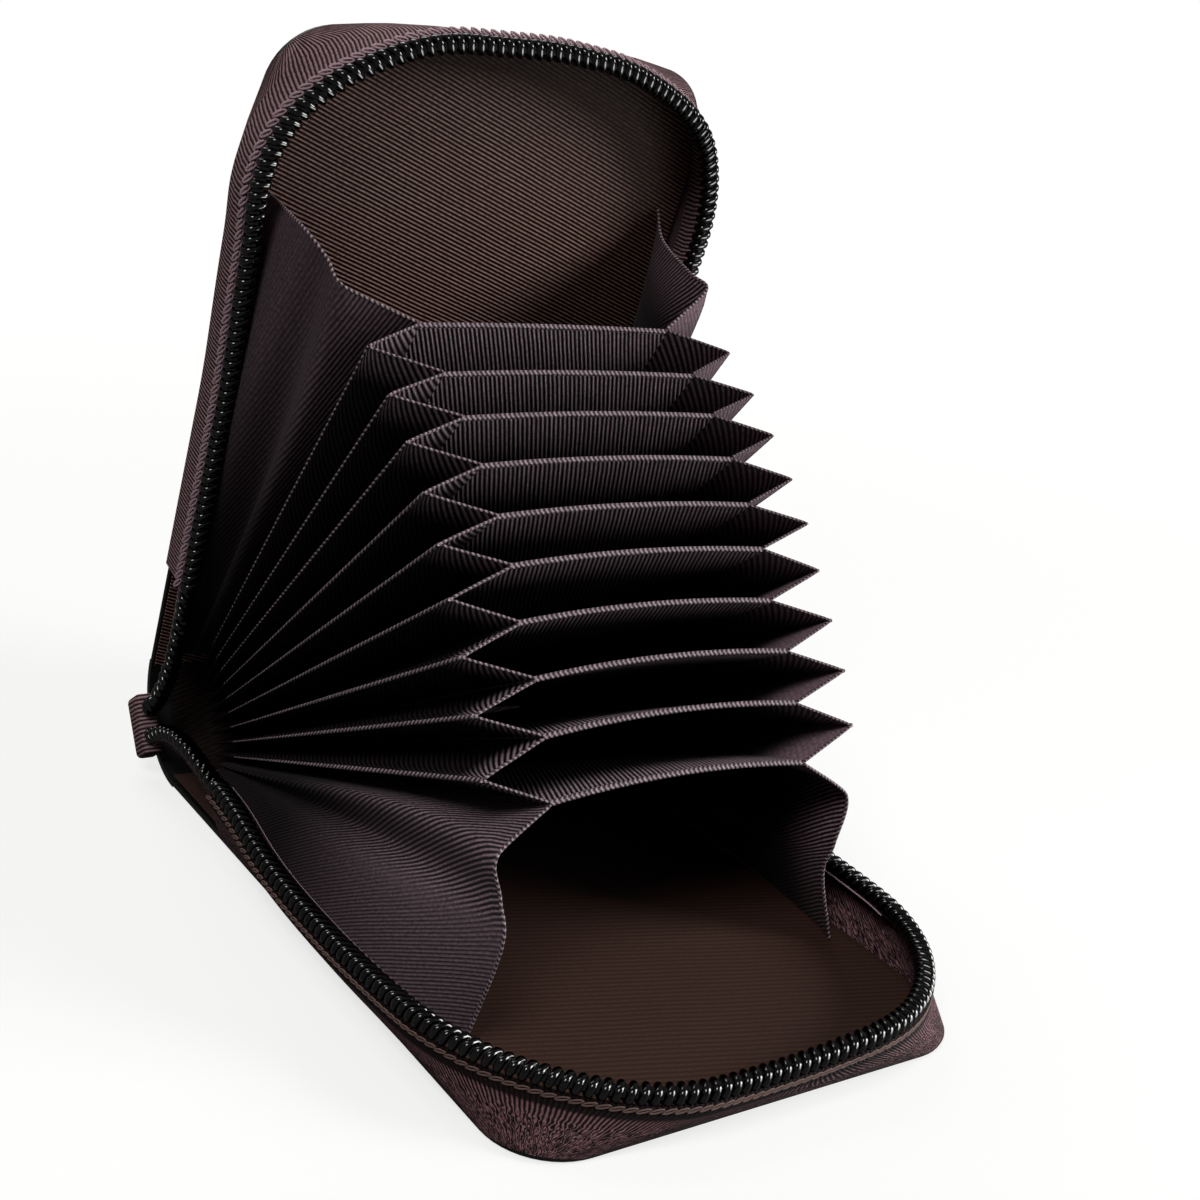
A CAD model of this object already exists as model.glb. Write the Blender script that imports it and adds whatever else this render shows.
"""Looks of a zip-around card wallet whose accordion of pockets stands open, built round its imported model.

Everything is in metres in the row frame: the origin is the middle of the lower cover's underside, +X runs
along the spine, +Y from the spine to the pocket mouths and +Z up.
"""
import logging
import math
from dataclasses import dataclass, field, replace
from enum import Enum
from typing import Any, Callable, Sequence

import bmesh
import bpy
import numpy as np
from mathutils import Matrix, Vector


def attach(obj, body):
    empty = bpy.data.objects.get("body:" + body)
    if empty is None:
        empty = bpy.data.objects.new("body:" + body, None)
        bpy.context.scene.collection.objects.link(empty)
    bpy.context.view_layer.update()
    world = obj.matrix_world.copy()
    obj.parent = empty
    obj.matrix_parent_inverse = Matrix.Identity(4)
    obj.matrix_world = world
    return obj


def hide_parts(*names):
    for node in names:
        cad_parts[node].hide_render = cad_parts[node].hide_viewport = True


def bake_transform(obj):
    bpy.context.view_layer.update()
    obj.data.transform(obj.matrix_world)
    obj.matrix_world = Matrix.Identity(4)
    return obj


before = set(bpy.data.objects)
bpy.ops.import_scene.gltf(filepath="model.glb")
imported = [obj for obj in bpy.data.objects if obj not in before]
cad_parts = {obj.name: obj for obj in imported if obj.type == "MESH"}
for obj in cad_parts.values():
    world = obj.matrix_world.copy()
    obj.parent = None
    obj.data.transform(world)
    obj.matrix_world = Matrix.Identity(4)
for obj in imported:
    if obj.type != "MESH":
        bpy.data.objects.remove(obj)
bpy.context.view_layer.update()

MM = 0.001
WEAVE_MAP = "weave"
# The faint unevenness of a plain finish's gloss: its noise scale per metre, drawn about 1 mm wide so that
# it shows, and how far it goes under and over the finish's own roughness
MOTTLE_SCALE = 900.0
MOTTLE_SHARES = (0.8, 1.25)
LOG = logging.getLogger("wallet")
UP = Vector((0.0, 0.0, 1.0))
BACKWARD = Vector((0.0, -1.0, 0.0))


class Side(Enum):
    """The two ends of the spine, by the sign of X."""

    LEFT = 1.0
    RIGHT = -1.0

    @property
    def word(self) -> str:
        """The side's name in piece names."""
        return self.name.lower()


class Cover(Enum):
    """The two covers, by their place in the chain of bodies."""

    LOWER = 0
    UPPER = 11

    @property
    def word(self) -> str:
        """The cover's name in piece names."""
        return self.name.lower()


def linear(colour: str) -> tuple[float, float, float, float]:
    """Turns an sRGB hex colour to linear values.

    Args:
        colour: The colour as "#rrggbb".

    Returns:
        Red, green, blue and an alpha of one.
    """
    parts = [int(colour[k:k + 2], 16) / 255.0 for k in (1, 3, 5)]
    return (*[p / 12.92 if p <= 0.04045 else ((p + 0.055) / 1.055) ** 2.4 for p in parts], 1.0)


def runs_along(points: Sequence[Vector]) -> np.ndarray:
    """How far along a line each of its points lies, from 0 at the first."""
    return np.concatenate([[0.0], np.cumsum([(b - a).length for a, b in zip(points, points[1:])])])


def cubic(points: Sequence[Vector], share: float) -> Vector:
    """A point on a cubic curve.

    Args:
        points: The curve's four points.
        share: Share of the way along it.

    Returns:
        The point.
    """
    a, b, c, d = points
    rest = 1.0 - share
    return a * rest ** 3 + b * 3 * rest ** 2 * share + c * 3 * rest * share ** 2 + d * share ** 3


def add_node(tree: bpy.types.NodeTree, kind: str, inputs: dict[Any, Any] | None = None,
             **settings: Any) -> bpy.types.Node:
    """Adds one node with its settings, and links or sets its sockets.

    Args:
        tree: The node tree.
        kind: Blender's name for the node, after "ShaderNode".
        inputs: Sockets by name or number, each with a value, another node's output, or a node that stands
            for its first output.
        **settings: The node's own properties.

    Returns:
        The new node.
    """
    node = tree.nodes.new(f"ShaderNode{kind}")
    for name, value in settings.items():
        setattr(node, name, value)
    for socket, value in (inputs or {}).items():
        source = value.outputs[0] if isinstance(value, bpy.types.Node) else value
        if isinstance(source, bpy.types.NodeSocket):
            tree.links.new(source, node.inputs[socket])
        else:
            node.inputs[socket].default_value = source
    return node


# Finishes

@dataclass(frozen=True)
class Finish:
    """A finish with one colour, and the base of all the others."""

    name: str
    slot: str
    colour: str
    roughness: float
    metallic: float = 0.0
    ior: float = 1.5
    sheen: float = 0.0
    specular: float = 0.5

    def pattern(self, tree: bpy.types.NodeTree, shader: bpy.types.Node) -> None:
        """Adds the pattern's nodes; the plain finish has a faint unevenness of its gloss.

        Args:
            tree: The material's node tree.
            shader: Its Principled shader.
        """
        low, high = (self.roughness * share for share in MOTTLE_SHARES)
        place = add_node(tree, "TexCoord").outputs["Object"]
        mottle = add_node(tree, "TexNoise", {"Vector": place, "Scale": MOTTLE_SCALE, "Detail": 3.0})
        gloss = add_node(tree, "MapRange", {"Value": mottle, "To Min": low, "To Max": high})
        tree.links.new(gloss.outputs["Result"], shader.inputs["Roughness"])

    def material(self) -> bpy.types.Material:
        """Makes the finish's material, or finds it where it is already made.

        Returns:
            The material, shared by every piece of this finish.
        """
        made = bpy.data.materials.get(self.name)
        if made:
            return made
        made = bpy.data.materials.new(self.name)
        made.use_nodes = True
        shader = made.node_tree.nodes["Principled BSDF"]
        shader.inputs["Base Color"].default_value = linear(self.colour)
        shader.inputs["Roughness"].default_value = self.roughness
        shader.inputs["Metallic"].default_value = self.metallic
        shader.inputs["IOR"].default_value = self.ior
        shader.inputs["Sheen Weight"].default_value = self.sheen
        shader.inputs["Specular IOR Level"].default_value = self.specular
        self.pattern(made.node_tree, shader)
        return made


@dataclass(frozen=True)
class RibbedCloth(Finish):
    """Cloth with raised ribs, its pattern on the piece's own UV map, which is in millimetres."""

    groove: str = "#000000"
    patch: str = "#000000"
    pitch: float = 0.8
    degrees: float = 0.0
    relief: float = 0.12
    patch_share: float = 0.35
    sharpness: float = 1.0
    mouth_from: float = 0.0
    mouth_reach: float = 0.0
    deep_share: float = 1.0
    smooth_past: float = 90.0
    smooth_light: float = 0.45
    smooth_width: float = 4.0
    smooth_share: float = 0.8
    sway: float = 2.4
    brightness: float = 1.7
    # Noise scales per millimetre: the ribs drift over 11 mm, the yarns' slubs are 0.6 mm, the blots 22 mm
    drift_scale: float = 0.09
    slub_scale: float = 1.7
    blot_scale: float = 0.045
    firmness: float = 0.9

    def pattern(self, tree: bpy.types.NodeTree, shader: bpy.types.Node) -> None:
        """Draws the ribs in colour and relief; where there is a mouth, at V = 0, they open towards it.

        Args:
            tree: The material's node tree.
            shader: Its Principled shader.
        """
        weave = add_node(tree, "UVMap", uv_map=WEAVE_MAP)
        parts = add_node(tree, "SeparateXYZ", {"Vector": weave}).outputs
        turn = 2.0 * math.pi / self.pitch
        angle = math.radians(self.degrees)
        heading = (turn * math.cos(angle), turn * math.sin(angle), 0.0)
        across = add_node(tree, "VectorMath", {0: weave, 1: heading}, operation="DOT_PRODUCT")
        drift = add_node(tree, "TexNoise", {"Vector": weave, "Scale": self.drift_scale, "Detail": 1.0})
        swayed = add_node(tree, "Math", {0: drift, 1: self.sway, 2: across.outputs["Value"]},
                          operation="MULTIPLY_ADD")
        wave = add_node(tree, "Math", {0: swayed}, operation="SINE")
        swell = add_node(tree, "MapRange", {"Value": wave, "From Min": -1.0})
        # Ribs are sharp where the cloth is taut and gone where it is pressed flat
        sharp = add_node(tree, "Math", {0: swell, 1: self.sharpness}, operation="POWER")
        down = add_node(tree, "Math", {0: parts["X"]}, operation="ABSOLUTE")
        pressed = add_node(tree, "MapRange", {"Value": down, "From Min": self.smooth_past,
                                              "From Max": self.smooth_past + self.smooth_width,
                                              "To Max": self.smooth_share}, interpolation_type="SMOOTHSTEP")
        rib = add_node(tree, "Mix", {"Factor": pressed, 2: sharp, 3: self.smooth_light})
        slub = add_node(tree, "TexNoise", {"Vector": weave, "Scale": self.slub_scale, "Detail": 2.0})
        crest = add_node(tree, "Math", {0: rib, 1: slub}, operation="MULTIPLY")
        near = add_node(tree, "MapRange", {"Value": parts["Y"], "From Min": -self.mouth_reach - 0.01,
                                           "From Max": -self.mouth_from,
                                           "To Min": self.brightness * self.deep_share,
                                           "To Max": self.brightness}, interpolation_type="SMOOTHSTEP")
        lift = add_node(tree, "Math", {0: crest, 1: near}, operation="MULTIPLY", use_clamp=True)
        cloth = add_node(tree, "Mix", {"Factor": lift, 6: linear(self.groove), 7: linear(self.colour)},
                         data_type="RGBA").outputs[2]
        blot = add_node(tree, "TexNoise", {"Vector": weave, "Scale": self.blot_scale, "Detail": 1.0})
        share = add_node(tree, "Math", {0: blot, 1: self.patch_share}, operation="MULTIPLY")
        tinted = add_node(tree, "Mix", {"Factor": share, 6: cloth, 7: linear(self.patch)}, data_type="RGBA")
        relief = add_node(tree, "Bump", {"Height": swell, "Strength": self.firmness,
                                         "Distance": self.relief * MM})
        tree.links.new(tinted.outputs[2], shader.inputs["Base Color"])
        tree.links.new(relief.outputs["Normal"], shader.inputs["Normal"])


@dataclass(frozen=True)
class WovenTape(Finish):
    """Woven zip tape: short ribs across the zip that tangle into loops where the tape is pulled."""

    groove: str = "#000000"
    pitch: float = 0.68
    # The loops' tangle at the foot and its rest above a height, with the height of the step between them
    tangle: float = 0.5
    least_tangle: float = 0.03
    calm_above: float = 4.7
    calm_step: float = 1.5
    # The selvedge's height and its step, and how much light the yarns catch below and above it
    selvedge: float = 5.3
    selvedge_step: float = 0.4
    lights: tuple[float, float] = (2.1, 0.1)
    sharpness: float = 1.8
    push: float = 5.0
    # Noise scales per millimetre: loops of 0.7 mm and fuzz of 0.3 mm
    loop_scale: float = 1.35
    fuzz_scale: float = 3.0
    relief: float = 0.22
    firmness: float = 0.9

    def pattern(self, tree: bpy.types.NodeTree, shader: bpy.types.Node) -> None:
        """Draws the yarns in colour and relief.

        Args:
            tree: The material's node tree.
            shader: Its Principled shader.
        """
        weave = add_node(tree, "UVMap", uv_map=WEAVE_MAP)
        parts = add_node(tree, "SeparateXYZ", {"Vector": weave}).outputs
        calm = add_node(tree, "MapRange", {"Value": parts["Y"], "From Min": self.calm_above - self.calm_step,
                                           "From Max": self.calm_above, "To Min": self.tangle,
                                           "To Max": self.least_tangle})
        loops = add_node(tree, "TexNoise", {"Vector": weave, "Scale": self.loop_scale, "Detail": 1.0,
                                            "Roughness": 0.4})
        centred = add_node(tree, "Math", {0: loops, 1: 0.5}, operation="SUBTRACT")
        pushed = add_node(tree, "Math", {0: centred, 1: calm}, operation="MULTIPLY")
        along = add_node(tree, "Math", {0: pushed, 1: self.push, 2: parts["X"]}, operation="MULTIPLY_ADD")
        turned = add_node(tree, "Math", {0: along, 1: 2.0 * math.pi / self.pitch}, operation="MULTIPLY")
        wave = add_node(tree, "Math", {0: turned}, operation="SINE")
        swell = add_node(tree, "MapRange", {"Value": wave, "From Min": -1.0})
        yarn = add_node(tree, "Math", {0: swell, 1: self.sharpness}, operation="POWER")
        fuzz = add_node(tree, "TexNoise", {"Vector": weave, "Scale": self.fuzz_scale, "Detail": 2.0})
        height = add_node(tree, "Math", {0: yarn, 1: fuzz}, operation="MULTIPLY")
        below, above = self.lights
        edge = add_node(tree, "MapRange", {"Value": parts["Y"], "From Min": self.selvedge,
                                           "From Max": self.selvedge + self.selvedge_step,
                                           "To Min": below, "To Max": above})
        lift = add_node(tree, "Math", {0: height, 1: edge}, operation="MULTIPLY", use_clamp=True)
        cloth = add_node(tree, "Mix", {"Factor": lift, 6: linear(self.groove), 7: linear(self.colour)},
                         data_type="RGBA")
        relief = add_node(tree, "Bump", {"Height": height, "Strength": self.firmness,
                                         "Distance": self.relief * MM})
        tree.links.new(cloth.outputs[2], shader.inputs["Base Color"])
        tree.links.new(relief.outputs["Normal"], shader.inputs["Normal"])


@dataclass(frozen=True)
class GrainedLeather(Finish):
    """Full-grain leather: rounded pebbles with darker valleys, on Object coordinates."""

    groove: str = "#000000"
    pebble: float = 1.3
    # Fine pores on the pebbles, their noise scale per metre
    pore_scale: float = 2500.0
    pore_share: float = 0.35
    relief: float = 0.15
    firmness: float = 0.6

    def pattern(self, tree: bpy.types.NodeTree, shader: bpy.types.Node) -> None:
        """Draws the pebbles in colour and relief.

        Args:
            tree: The material's node tree.
            shader: Its Principled shader.
        """
        place = add_node(tree, "TexCoord").outputs["Object"]
        cells = add_node(tree, "TexVoronoi", {"Vector": place, "Scale": 1.0 / (self.pebble * MM)},
                         feature="SMOOTH_F1").outputs["Distance"]
        pores = add_node(tree, "TexNoise", {"Vector": place, "Scale": self.pore_scale, "Detail": 3.0})
        height = add_node(tree, "Math", {0: pores, 1: self.pore_share, 2: cells}, operation="MULTIPLY_ADD")
        worn = add_node(tree, "Mix", {"Factor": cells, 6: linear(self.colour), 7: linear(self.groove)},
                        data_type="RGBA")
        relief = add_node(tree, "Bump", {"Height": height, "Strength": self.firmness,
                                         "Distance": self.relief * MM}, invert=True)
        tree.links.new(worn.outputs[2], shader.inputs["Base Color"])
        tree.links.new(relief.outputs["Normal"], shader.inputs["Normal"])


@dataclass(frozen=True)
class Palette:
    """Every finish of the wallet."""

    # Chrome-tanned cowhide, dyed through and plated with a low grain: a soft, broken shine
    leather: Finish = GrainedLeather("grained_cowhide", "black_leather", "#141213", 0.5, specular=0.35,
                                     groove="#060505")
    # Recycled fibre board: flat grey, seen only where a lining would be lifted
    board: Finish = Finish("fibre_board", "grey_board", "#6a625a", 0.9)
    # Polyester twill linings: matt brown with fine bright ribs that slant across the cover
    upper_twill: Finish = RibbedCloth("twill_upper", "brown_twill", "#bd9d92", 0.6, specular=0.06,
                                      groove="#0c0000", patch="#4c1609", pitch=0.6, degrees=110.7,
                                      relief=0.1, sharpness=2.9)
    lower_twill: Finish = replace(upper_twill, name="twill_lower", colour="#453229", specular=0.2,
                                  groove="#30201a", patch="#3d1f18", pitch=1.0, degrees=73.0,
                                  relief=0.015, sharpness=1.0)
    # The same twill behind the pockets, worn dark
    spine_twill: Finish = replace(lower_twill, name="twill_spine", colour="#241915", specular=0.15,
                                  groove="#080504", patch="#140a07", pitch=0.8, relief=0.06)
    # Ribbed polyester satin: near-black plum whose ribs open and catch a mauve line at the mouths
    satin: Finish = RibbedCloth("ribbed_satin", "plum_ribbed_satin", "#d0b8c0", 0.5, specular=0.12,
                                groove="#060304", patch="#120a0d", pitch=0.66, degrees=-28.0, relief=0.1,
                                patch_share=0.2, sharpness=1.8, mouth_reach=13.0, deep_share=0.04)
    # The same satin on the narrow folds, where only the last millimetres open
    fold_satin: Finish = replace(satin, name="ribbed_satin_folds", colour="#c8b0b8", mouth_reach=7.0,
                                 deep_share=0.05)
    # The same satin on the wide fold at the lower cover, pulled open all over
    wide_satin: Finish = replace(satin, name="ribbed_satin_wide", colour="#a08791", specular=0.15, sheen=0.03,
                                 groove="#0c0608", patch="#1a1015", degrees=23.0, relief=0.14, sharpness=1.5,
                                 mouth_from=14.0, mouth_reach=62.0, deep_share=0.03, smooth_past=18.5)
    # The same satin on the wide fold at the upper cover's left, which hangs closed and smooth
    closed_satin: Finish = replace(wide_satin, name="ribbed_satin_closed", colour="#75626a", groove="#0e0709",
                                   degrees=14.0, relief=0.06, sharpness=1.0, mouth_from=10.0,
                                   mouth_reach=60.0, deep_share=0.06, smooth_past=9.0)
    # The same satin on the right folds: in shade inside, pressed smooth outside
    shade_satin: Finish = replace(satin, name="ribbed_satin_shade", colour="#977c85", specular=0.15,
                                  sheen=0.03, groove="#040203", relief=0.06, sharpness=2.0,
                                  smooth_past=60.0, smooth_light=1.1)
    # The same satin turned over the edges: its ribs wind round them like a cord
    hem: Finish = RibbedCloth("satin_edge", "plum_ribbed_satin", "#b59ea6", 0.5, sheen=0.05, specular=0.2,
                              groove="#150c0f", patch="#5a434b", pitch=0.66, degrees=32.0, relief=0.1,
                              patch_share=0.15, sharpness=1.6)
    # The same satin over the side folds' creases, its ribs steeper round them
    crease: Finish = replace(hem, name="satin_crease", colour="#c4abb3", groove="#080405", patch="#3a2a30",
                             pitch=0.76, degrees=45.0, relief=0.12)
    # Polyester zip tape: matt plum, its yarns pulled into loops round the lower cover and even on the upper
    lower_tape: Finish = WovenTape("woven_tape_lower", "plum_zip_tape", "#8c666b", 0.8, groove="#0a0304",
                                   specular=0.15)
    upper_tape: Finish = replace(lower_tape, name="woven_tape_upper", colour="#a08084", groove="#150709",
                                 tangle=0.04, selvedge=7.3, sharpness=1.4)
    # Spun polyester sewing thread: dull mauve, a little lighter than the tape
    thread: Finish = Finish("sewing_thread", "plum_zip_tape", "#a58a92", 0.6, specular=0.25)
    # The same thread dyed brown, as on the lower cover
    brown_thread: Finish = Finish("brown_sewing_thread", "plum_zip_tape", "#6e5852", 0.65, specular=0.2)
    # Nylon monofilament wound into a coil: black with a hard, narrow highlight
    nylon: Finish = Finish("nylon_monofilament", "black_nylon_coil", "#000000", 0.13, ior=1.53, specular=0.5)
    # Die-cast zinc plated in black nickel: a dark mirror softened by wear
    nickel: Finish = Finish("nickel_plate", "black_nickel", "#4a4a4e", 0.26, metallic=1.0)

    def tape(self, cover: Cover) -> Finish:
        """The tape of a cover."""
        return self.lower_tape if cover is Cover.LOWER else self.upper_tape

    def seam(self, cover: Cover) -> Finish:
        """The thread of a cover's chain stitches."""
        return self.brown_thread if cover is Cover.LOWER else self.thread


# The workbench

class Bench:
    """Blender's operators as they are used for every piece."""

    @staticmethod
    def take(piece: bpy.types.Object) -> None:
        """Selects one piece alone and makes it active.

        Args:
            piece: The object.
        """
        bpy.ops.object.select_all(action="DESELECT")
        piece.select_set(True)
        bpy.context.view_layer.objects.active = piece

    @staticmethod
    def modify(piece: bpy.types.Object, kind: str, **settings: Any) -> None:
        """Adds a modifier and applies it.

        Args:
            piece: The object.
            kind: Blender's name for the modifier.
            **settings: The modifier's properties.
        """
        Bench.take(piece)
        modifier = piece.modifiers.new(kind.lower(), kind)
        for name, value in settings.items():
            setattr(modifier, name, value)
        bpy.ops.object.modifier_apply(modifier=modifier.name)

    @staticmethod
    def tidy(piece: bpy.types.Object, smooth_degrees: float = 40.0) -> None:
        """Turns every face outwards and shades the piece smooth but for its sharp edges.

        Args:
            piece: The object.
            smooth_degrees: Edges sharper than this stay sharp.
        """
        Bench.take(piece)
        bpy.ops.object.mode_set(mode="EDIT")
        bpy.ops.mesh.select_all(action="SELECT")
        bpy.ops.mesh.normals_make_consistent(inside=False)
        bpy.ops.object.mode_set(mode="OBJECT")
        bpy.ops.object.shade_smooth_by_angle(angle=math.radians(smooth_degrees))

    @staticmethod
    def join(pieces: Sequence[bpy.types.Object], name: str) -> bpy.types.Object:
        """Joins pieces into the first one.

        Args:
            pieces: The objects, each with the same UV map.
            name: The joined object's name.

        Returns:
            The joined object.
        """
        Bench.take(pieces[0])
        for piece in pieces[1:]:
            piece.select_set(True)
        if len(pieces) > 1:
            bpy.ops.object.join()
        pieces[0].name = name
        return pieces[0]

    @staticmethod
    def set_weave(piece: bpy.types.Object, flat: np.ndarray) -> None:
        """Writes a UV map in millimetres, in place of any other.

        Args:
            piece: The object.
            flat: One (u, v) in millimetres for each vertex.
        """
        mesh = piece.data
        while mesh.uv_layers:
            mesh.uv_layers.remove(mesh.uv_layers[0])
        weave = mesh.uv_layers.new(name=WEAVE_MAP)
        corners = np.zeros(len(mesh.loops), dtype=np.int32)
        mesh.loops.foreach_get("vertex_index", corners)
        weave.data.foreach_set("uv", flat[corners].astype(np.float32).ravel())

    @staticmethod
    def sheet(name: str, across: int, along: int, shape: Callable[[float, float], Vector],
              flat: Callable[[float, float], tuple[float, float]], thick: float,
              finish: Finish) -> bpy.types.Object:
        """A grid laid out by a formula and given its thickness.

        Args:
            name: The piece's name.
            across: Cells across.
            along: Cells along.
            shape: The place of a point of the sheet from its shares across and along.
            flat: The same point on the flat cloth, in millimetres.
            thick: Thickness.
            finish: Its finish.

        Returns:
            The sheet.
        """
        bpy.ops.object.select_all(action="DESELECT")
        bpy.ops.mesh.primitive_grid_add(x_subdivisions=across, y_subdivisions=along, size=1.0)
        piece = bpy.context.active_object
        piece.name = name
        shares = [(vertex.co.x + 0.5, vertex.co.y + 0.5) for vertex in piece.data.vertices]
        Bench.set_weave(piece, np.array([flat(s, t) for s, t in shares]))
        for vertex, (s, t) in zip(piece.data.vertices, shares):
            vertex.co = shape(s, t)
        Bench.modify(piece, "SOLIDIFY", thickness=thick, offset=0.0)
        Bench.tidy(piece)
        piece.data.materials.append(finish.material())
        return piece

    @staticmethod
    def tube(name: str, points: Sequence[Vector], radius: float, sides: int, finish: Finish,
             thin_start: float = 1.0) -> bpy.types.Object:
        """A round cord along a line of points, closed at both ends.

        Args:
            name: The piece's name.
            points: The line.
            radius: The cord's radius.
            sides: Faces round it.
            finish: Its finish.
            thin_start: The share of the radius that it starts with.

        Returns:
            The cord, its UV map running along and round it in millimetres.
        """
        aside = None
        places = []
        flat = []
        faces = []
        run = 0.0
        for k, point in enumerate(points):
            ahead = (points[min(k + 1, len(points) - 1)] - points[max(k - 1, 0)]).normalized()
            aside = aside or ahead.orthogonal().normalized()
            aside = (aside - ahead * aside.dot(ahead)).normalized()
            other = ahead.cross(aside)
            run += (point - points[k - 1]).length if k else 0.0
            swell = min(1.0, thin_start + 2.0 * (1.0 - thin_start) * k / len(points))
            ring = len(places)
            for n in range(sides):
                angle = 2.0 * math.pi * n / sides
                offset = (aside * math.cos(angle) + other * math.sin(angle)) * (radius * swell)
                places.append(point + offset)
                flat.append((run / MM, radius * min(angle, 2.0 * math.pi - angle) / MM))
                after = (n + 1) % sides
                if k:
                    faces.append((ring - sides + n, ring - sides + after, ring + after, ring + n))
        faces += [tuple(range(sides))[::-1], tuple(range(ring, ring + sides))]
        piece = Bench.solid(name, places, faces, flat, finish)
        Bench.tidy(piece, 60.0)
        return piece

    @staticmethod
    def solid(name: str, places: Sequence[Vector], faces: Sequence[tuple[int, ...]],
              flat: Sequence[tuple[float, float]], finish: Finish) -> bpy.types.Object:
        """An object from its points and faces.

        Args:
            name: The piece's name.
            places: Its points.
            faces: The points' numbers for each face.
            flat: The points on the flat cloth, in millimetres.
            finish: Its finish.

        Returns:
            The object.
        """
        mesh = bpy.data.meshes.new(name)
        mesh.from_pydata([tuple(place) for place in places], [], faces)
        piece = bpy.data.objects.new(name, mesh)
        bpy.context.scene.collection.objects.link(piece)
        Bench.set_weave(piece, np.array(flat))
        mesh.materials.append(finish.material())
        return piece

    @staticmethod
    def block(name: str, place: Sequence[float], size: Sequence[float]) -> bpy.types.Object:
        """A block with its place and size in its mesh.

        Args:
            name: The piece's name.
            place: Its middle.
            size: Its size along X, Y and Z.

        Returns:
            The block.
        """
        bpy.ops.object.select_all(action="DESELECT")
        bpy.ops.mesh.primitive_cube_add(size=1.0, location=place, scale=size)
        piece = bpy.context.active_object
        piece.name = name
        bpy.ops.object.transform_apply(location=True, rotation=True, scale=True)
        return piece

    @staticmethod
    def plate(name: str, width: float, length: float, thick: float, corner: float, foot: float, back: float,
              edge: float, finish: Finish) -> bpy.types.Object:
        """A plate with two round far corners and softened edges, in a cover's own frame.

        Args:
            name: The piece's name.
            width: Size along the spine.
            length: Size away from the spine, from the back edge.
            thick: Thickness.
            corner: Radius of the two far corners.
            foot: Height of its lower face.
            back: Place of its back edge.
            edge: Radius of the softened edges.
            finish: Its finish.

        Returns:
            The plate.
        """
        piece = Bench.block(name, (0.0, back + length / 2, foot + thick / 2), (width, length, thick))
        far = back + length
        Bench.bevel(piece, lambda a, b: abs(a.z - b.z) > thick / 2 and a.y > far - MM, corner, 12)
        Bench.bevel(piece, lambda a, b: abs(a.z - b.z) < thick / 10, edge, 3)
        Bench.set_weave(piece, np.array([(v.co.x / MM, v.co.y / MM) for v in piece.data.vertices]))
        piece.data.materials.append(finish.material())
        return piece

    @staticmethod
    def bevel(piece: bpy.types.Object, wanted: Callable[[Vector, Vector], bool], radius: float,
              segments: int) -> None:
        """Rounds the edges that a test picks by the places of their ends.

        Args:
            piece: The object.
            wanted: The test.
            radius: The round's radius.
            segments: Its faces.
        """
        Bench.take(piece)
        bpy.ops.object.mode_set(mode="EDIT")
        bpy.ops.mesh.select_mode(type="EDGE")
        bpy.ops.mesh.select_all(action="DESELECT")
        bm = bmesh.from_edit_mesh(piece.data)
        for line in bm.edges:
            sharp = len(line.link_faces) == 2 and line.calc_face_angle() > math.radians(50.0)
            line.select = sharp and wanted(line.verts[0].co, line.verts[1].co)
        bmesh.update_edit_mesh(piece.data)
        bpy.ops.mesh.bevel(offset=radius, offset_type="OFFSET", segments=segments, profile=0.5,
                           clamp_overlap=True)
        bpy.ops.object.mode_set(mode="OBJECT")


def dress(piece: bpy.types.Object, finish: Finish, body: str, *nodes: str) -> bpy.types.Object:
    """Says what a finished piece rides on, which slot it takes and what it stands for.

    Args:
        piece: The object.
        finish: Its main finish.
        body: The CAD body that it moves with.
        *nodes: The CAD nodes that it replaces.

    Returns:
        The piece.
    """
    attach(piece, body)
    if nodes:
        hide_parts(*nodes)
    return piece


# The fan of pockets

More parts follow.
